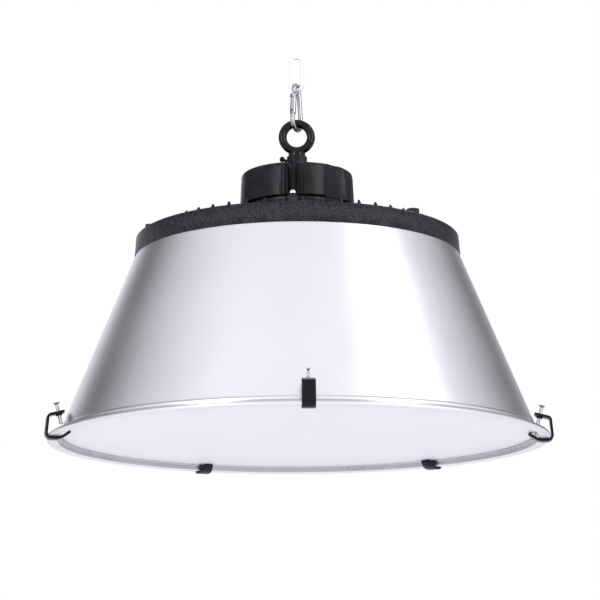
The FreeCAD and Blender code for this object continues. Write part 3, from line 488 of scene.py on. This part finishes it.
eye_stem = turned_piece("eye_stem", [
    (0, eye_root), (4.4 * mm, eye_root), (5.6 * mm, eye_root - 3.2 * mm),
    (7.0 * mm, shoulder_foot + 5.2 * mm), (shoulder_edge, shoulder_foot + 4.4 * mm),
    (shoulder_radius, shoulder_foot + 3.6 * mm), (shoulder_radius, shoulder_foot + 0.5 * mm),
    (shoulder_edge, shoulder_foot), (shank_radius, shoulder_foot),
    (shank_radius, eye_low.z + 1.2 * mm), (4.8 * mm, eye_low.z), (0, eye_low.z)], steps=72)
forged_eye = joined_pieces([eye_ring, eye_stem])
forged_eye.name = "forged_eyebolt"
add_modifier(forged_eye, "REMESH", mode="VOXEL", voxel_size=forging_blend, adaptivity=0.0)
add_modifier(forged_eye, "SMOOTH", factor=0.5, iterations=5)
finish_piece(forged_eye, ["eyebolt"], "lamp", gloss_black, angle=60.0)

# ---------------------------------------------------------------- the shade
# One disc of 1.2 mm aluminium, spun on a former to a cone, with a bead and a flare at
# its mouth and the edge rolled under and turned up to carry the opal disc. It is
# blasted satin, and six screws through its top flange hold it to the heat sink.
def pick(piece, wanted):
    """Selects, in edit mode, the points of a piece that pass a test."""
    bpy.ops.object.mode_set(mode="OBJECT")
    for part in (*piece.data.polygons, *piece.data.edges):
        part.select = False
    for point in piece.data.vertices:
        point.select = wanted(point.co)
    bpy.ops.object.mode_set(mode="EDIT")
    bpy.ops.mesh.select_mode(type="VERT")


def bent_line(name, run, bends):
    """An open line with the corners that pass each test rounded, left in edit mode."""
    piece = drawn_line(name, run)
    bpy.ops.object.mode_set(mode="OBJECT")
    place_applied()
    for corners, reach in bends:
        pick(piece, corners)
        bpy.ops.mesh.bevel(offset=reach, offset_type="OFFSET", segments=6,
                           affect="VERTICES", clamp_overlap=True)
    return piece


spun_satin = finish_of(
    "spun_satin_aluminium", colours=((0.85, 0.85, 0.89), (0.89, 0.89, 0.93)),
    roughness=(0.27, 0.31), metallic=1.0, grain_scale=700, grain_depth=0.00014,
    tone_scale=10.0)
# A darker grey aluminium: painted shade for the turned-up edge inside the mouth.
rim_painted_shade = finish_of(
    "rim_aluminium_painted_shade", colours=((0.49, 0.49, 0.52), (0.56, 0.56, 0.59)),
    roughness=(0.26, 0.34), metallic=1.0, grain_scale=700, grain_depth=0.00005,
    tone_scale=20.0)
wear(["shade"], spun_satin)
wear(["shade_screws"], screw_steel)
shade_low, shade_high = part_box("shade")
shade_foot = shade_low.z
shade_head = shade_high.z
shade_sheet = 1.2 * mm
shade_top = 173.9 * mm
flange_width = 13.0 * mm
flare = shade_high.x
waist = flare - 14.8 * mm
throat = waist + 1.6 * mm
throat_foot = 6.2 * mm
lip_edge = flare - 12.0 * mm
lip_rise = 7.2 * mm
shade_steps = 240
spun_shade = bent_line("spun_shade", [
    (shade_top - flange_width, shade_head), (shade_top, shade_head),
    (waist, shade_foot + 11.0 * mm), (throat, shade_foot + 9.6 * mm),
    (throat, shade_foot + throat_foot), (flare, shade_foot + 3.4 * mm), (flare, shade_foot),
    (lip_edge, shade_foot), (lip_edge, shade_foot + lip_rise)],
    [(lambda place: place.z < shade_foot + 5 * mm, 1.6 * mm),
     (lambda place: abs(place.z - shade_foot - throat_foot) < 0.1 * mm, 1.0 * mm),
     (lambda place: abs(place.z - shade_foot - 10 * mm) < 2 * mm, 1.0 * mm)])
spin_round(shade_steps)
add_modifier(spun_shade, "SOLIDIFY", thickness=shade_sheet, offset=-1.0, use_even_offset=True)

shade_screw_circle = 168.3 * mm
shade_screw_count = 6
shade_screw_start = 15.0
shade_bore = 2.1 * mm
shade_bores = []
for turn in range(shade_screw_count):
    bearing = math.radians(shade_screw_start + 360.0 / shade_screw_count * turn - 90.0)
    bpy.ops.object.select_all(action="DESELECT")
    bpy.ops.mesh.primitive_cylinder_add(
        vertices=24, radius=shade_bore, depth=8 * mm,
        location=(shade_screw_circle * math.cos(bearing),
                  shade_screw_circle * math.sin(bearing), shade_head))
    shade_bores.append(bpy.context.object)
shade_drill = joined_pieces(shade_bores)
add_modifier(spun_shade, "BOOLEAN", operation="DIFFERENCE", object=shade_drill, solver="EXACT")
bpy.data.objects.remove(shade_drill)
finish_piece(spun_shade, ["shade"], "lamp", spun_satin)

# The turned-up edge inside the mouth gets a darker grey base colour: painted shade standing in
# for the shadow inside the shade's mouth.
spun_shade.data.materials.append(rim_painted_shade)
pick(spun_shade, lambda place: shade_foot + 0.5 * mm < place.z < shade_foot + 8 * mm
     and math.hypot(place.x, place.y) < flare - 10.5 * mm)
spun_shade.active_material_index = 1
bpy.ops.object.material_slot_assign()
bpy.ops.object.mode_set(mode="OBJECT")

# ---------------------------------------------------------------- the opal disc
# A flat disc of opal plastic that closes the mouth. It rests on the clips' tongues, and
# a soft ring lies between it and the inside of the shade's bead.
opal = finish_of(
    "opal_plastic", colours=((0.86, 0.85, 0.93), (0.89, 0.88, 0.95)),
    roughness=(0.35, 0.42), metallic=0.0, grain_scale=800, grain_depth=0.00001,
    tone_scale=8.0)
wear(["diffuser"], opal)
wear(["diffuser_gasket"], black_rubber)

# ---------------------------------------------------------------- the rim clips
# Five clips of spring steel strip, blanked with a narrow tongue, pierced and drawn to a
# collar for the screw, bent and coated satin black. Each hooks under the rolled lip, its
# tongue holds up the opal disc, and its screw presses on the shade.
def copy_round(piece, name, azimuth, placing):
    """A copy with its own mesh, placed and then turned about the lamp's axis."""
    copied = bpy.data.objects.new(name, piece.data.copy())
    bpy.context.scene.collection.objects.link(copied)
    copied.data.transform(Matrix.Rotation(math.radians(azimuth - 90), 4, "Z") @ placing)
    return copied


satin_black = finish_of(
    "satin_black_coat", colours=((0.003, 0.003, 0.004), (0.006, 0.006, 0.007)),
    roughness=(0.22, 0.32), metallic=0.0, grain_scale=600, grain_depth=0.00003,
    tone_scale=80.0, specular=0.2)
clip_azimuths = {"front": 2.2, "right": 86.0, "rear_right": 143.4, "rear_left": 205.5,
                 "left": 283.0}
wear(["clip_" + place for place in clip_azimuths], satin_black)
clip_strip = 2.6 * mm
clip_width = 13.4 * mm
clip_tip_share = 0.75
clip_edge = 0.35 * mm
clip_under = 2.68 * mm
collar_head = 1.2 * mm
screw_hole = 2.05 * mm
clip_tilt = 14.5
clip_hole = (Matrix.Translation((253.966 * mm, 0, shade_foot + 24.279 * mm))
             @ Matrix.Rotation(math.radians(clip_tilt), 4, "Y"))
bent_clip = bent_line("bent_clip", [
    (248.95 * mm, shade_foot + 28.06 * mm), (flare + 1.4 * mm, shade_foot + 23.5 * mm),
    (flare + 3.86 * mm, shade_foot - clip_under), (flare - 13.0 * mm, shade_foot - clip_under),
    (flare - 23.6 * mm, shade_foot + 4.9 * mm)],
    [(lambda place: place.x > flare and place.z > shade_foot, 3.2 * mm),
     (lambda place: place.x > flare and place.z < shade_foot, 7.6 * mm),
     (lambda place: place.x < flare - 10 * mm and place.z < shade_foot, 5.0 * mm)])
bpy.ops.mesh.select_all(action="SELECT")
bpy.ops.transform.translate(value=(0, -clip_width / 2, 0))
bpy.ops.mesh.extrude_region_move(TRANSFORM_OT_translate={"value": (0, clip_width, 0)})
bpy.ops.mesh.select_all(action="SELECT")
bpy.ops.mesh.normals_make_consistent(inside=False)
bpy.ops.object.mode_set(mode="OBJECT")
pick(bent_clip, lambda place: place.x < flare - 22 * mm)
bpy.ops.transform.resize(value=(1, clip_tip_share, 1), center_override=(0, 0, 0))
bpy.ops.object.mode_set(mode="OBJECT")
add_modifier(bent_clip, "SOLIDIFY", thickness=clip_strip, offset=-1.0, use_even_offset=True)
for kind, radius, foot, head in (("UNION", 3.5 * mm, -2.0 * mm, collar_head),
                                 ("DIFFERENCE", screw_hole, -4.0 * mm, 5.0 * mm)):
    bpy.ops.object.select_all(action="DESELECT")
    bpy.ops.mesh.primitive_cylinder_add(vertices=40, radius=radius, depth=head - foot,
                                        location=(0, 0, (head + foot) / 2))
    punch = bpy.context.object
    place_applied()
    punch.data.transform(clip_hole)
    add_modifier(bent_clip, "BOOLEAN", operation=kind, object=punch, solver="EXACT")
    bpy.data.objects.remove(punch)
add_modifier(bent_clip, "BEVEL", width=clip_edge, segments=2, limit_method="ANGLE",
             angle_limit=math.radians(32), use_clamp_overlap=True)
for place, azimuth in clip_azimuths.items():
    clip = copy_round(bent_clip, "bent_clip_" + place, azimuth, Matrix.Identity(4))
    finish_piece(clip, ["clip_" + place], "lamp", satin_black, angle=35.0)
bpy.data.objects.remove(bent_clip)

# ---------------------------------------------------------------- the clips' screws
# M4 countersunk screws of plated steel with a cross recess. Each goes down through the
# collar of its clip, and its flat point presses on the shade just above the bead.
wear(["clip_screws"], screw_steel)
screw_thread = 2.0 * mm
screw_root = 1.62 * mm
screw_pitch = 0.7 * mm
screw_head = 3.8 * mm
screw_point = 1.3 * mm
screw_length = 23.0 * mm
screw_top = 12.0 * mm
screw_foot = screw_top - screw_length
thread_start = 0.4 * mm
screw_line = [(0, screw_foot), (screw_point, screw_foot), (screw_root, screw_foot + 0.3 * mm)]
screw_turns = int((screw_top - 2.6 * mm - screw_foot - thread_start) / screw_pitch)
for turn in range(screw_turns):
    ridge = screw_foot + thread_start + turn * screw_pitch
    screw_line += [(screw_root, ridge), (screw_thread, ridge + 0.28 * mm),
                   (screw_thread, ridge + 0.36 * mm), (screw_root, ridge + 0.62 * mm)]
screw_line += [(screw_thread, screw_top - 2.3 * mm), (screw_head, screw_top - 0.45 * mm),
               (screw_head, screw_top - 0.12 * mm), (screw_head - 0.15 * mm, screw_top),
               (0, screw_top)]
clip_screw = turned_piece("clip_screw", screw_line, steps=32)
recess_depth = 2.6 * mm
for width, depth in ((4.4 * mm, 0.9 * mm), (0.9 * mm, 4.4 * mm)):
    bpy.ops.object.select_all(action="DESELECT")
    bpy.ops.mesh.primitive_cube_add(size=1, location=(0, 0, screw_top))
    bar = bpy.context.object
    bar.scale = (width, depth, recess_depth)
    place_applied()
    pick(bar, lambda place: place.z < screw_top)
    bpy.ops.transform.resize(value=(0.7, 0.7, 1), center_override=(0, 0, screw_top))
    bpy.ops.object.mode_set(mode="OBJECT")
    add_modifier(clip_screw, "BOOLEAN", operation="DIFFERENCE", object=bar, solver="EXACT")
    bpy.data.objects.remove(bar)
clip_screws = joined_pieces([copy_round(clip_screw, "clip_screw_copy", azimuth, clip_hole)
                             for azimuth in clip_azimuths.values()])
bpy.data.objects.remove(clip_screw)
clip_screws.name = "threaded_clip_screws"
finish_piece(clip_screws, ["clip_screws"], "lamp", screw_steel)

# ---------------------------------------------------------------- the snap hook
# A hook of bent 5 mm steel bar, zinc plated, with a sprung tube gate on a rivet. The
# eye hangs in its bend, and the gate's catch pin locks behind its notched nose.
wear(["snap_hook", "hook_gate", "gate_rivet", "gate_pin", "gate_spring"], zinc_steel)

# ---------------------------------------------------------------- the chain link
# One link of short-link chain: round steel bar bent to an oval and butt welded in the
# middle of one side, then zinc plated. It carries the snap hook.
# Near-white zinc: its pale base colour is painted glare, standing in for the link washed out to
# white by the light.
link_painted_glare = finish_of(
    "zinc_painted_glare", colours=((0.88, 0.88, 0.89), (0.92, 0.92, 0.94)),
    roughness=(0.34, 0.40), metallic=0.4, grain_scale=900, grain_depth=0.00001,
    tone_scale=40.0)
wear(["chain_link"], zinc_steel)
link_low, link_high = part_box("chain_link")
link_bar = 2.0 * mm
link_bend = 6.1 * mm
link_split = link_high.z - link_bar - link_bend
link_run = (link_high.z - link_low.z) - 2 * (link_bar + link_bend)
bpy.ops.object.select_all(action="DESELECT")
bpy.ops.mesh.primitive_torus_add(
    major_radius=link_bend, minor_radius=link_bar, major_segments=72, minor_segments=32,
    location=(0, 0, link_split), rotation=(math.pi / 2, 0, 0))
welded_link = bpy.context.object
welded_link.name = "welded_chain_link"
place_applied()
pick(welded_link, lambda place: place.z < link_split - 0.01 * mm)
bpy.ops.transform.translate(value=(0, 0, -link_run))
weld_level = link_split - link_run / 2
for step in (-0.9, -0.45, 0.0, 0.45, 0.9):
    bpy.ops.mesh.select_all(action="SELECT")
    bpy.ops.mesh.bisect(plane_co=(0, 0, weld_level + step * mm), plane_no=(0, 0, 1))
for reach, swell in ((0.1, 1.13), (0.55, 1.07)):
    pick(welded_link, lambda place: place.x > 0 and abs(place.z - weld_level) < reach * mm)
    bpy.ops.transform.resize(value=(swell, swell, 1),
                             center_override=(link_bend, 0, weld_level))
bpy.ops.object.mode_set(mode="OBJECT")
finish_piece(welded_link, ["chain_link"], "chain", link_painted_glare, angle=60.0)
